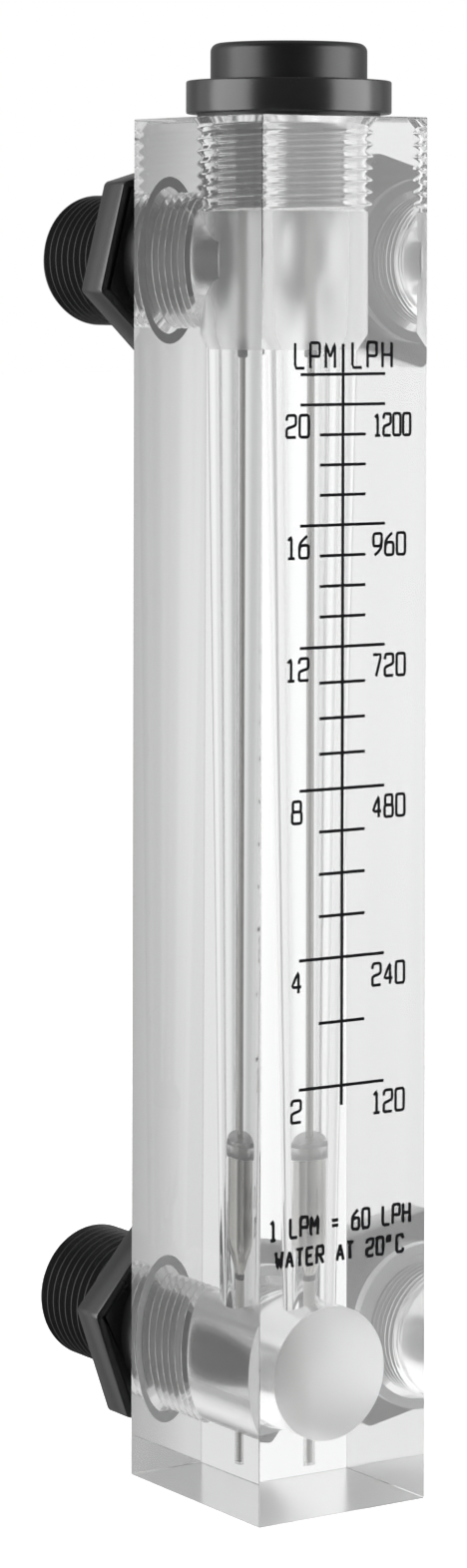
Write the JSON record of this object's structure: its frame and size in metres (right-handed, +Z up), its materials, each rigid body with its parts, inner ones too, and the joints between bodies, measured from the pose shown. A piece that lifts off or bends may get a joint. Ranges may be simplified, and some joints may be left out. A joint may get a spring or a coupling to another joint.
{
  "type": "rotameter",
  "caption": "Clear acrylic block flow meter with a tapered bore, a float on a guide rod, a printed scale, a top plug and two threaded nipples on the back.",
  "frame": {"origin": "on the block's flat bottom face, on the axis of the tapered bore", "axes": "+Z up along the tapered bore, +Y out of the back face along the nipples, -Y out of the scale face"},
  "size_m": [0.0344, 0.0715, 0.2193],
  "materials": {
    "clear_acrylic": "polished",
    "black_plastic": "satin moulded",
    "seal_rubber": "smooth",
    "rod_steel": "drawn",
    "sleeve_plastic": "smooth",
    "float_steel": "turned",
    "clear_ring": "translucent",
    "black_ink": "printed"
  },
  "bodies": {
    "meter_body": {"body_block": "clear_acrylic", "top_plug": "black_plastic", "plug_seal": "seal_rubber", "inlet_nipple": "black_plastic", "inlet_gasket": "seal_rubber", "outlet_nipple": "black_plastic", "outlet_gasket": "seal_rubber", "guide_rod": "rod_steel", "upper_stop_sleeve": "sleeve_plastic", "upper_bumper": "seal_rubber", "lower_stop_sleeve": "sleeve_plastic", "lower_bumper": "seal_rubber", "scale_marks": "black_ink"},
    "float": {"float_body": "float_steel", "float_head": "clear_ring"}
  },
  "joints": [
    {"name": "float_slide", "type": "slide", "parent": "meter_body", "child": "float", "axis": [0, 0, 1], "range_m": [0, 0.1161]}
  ]
}
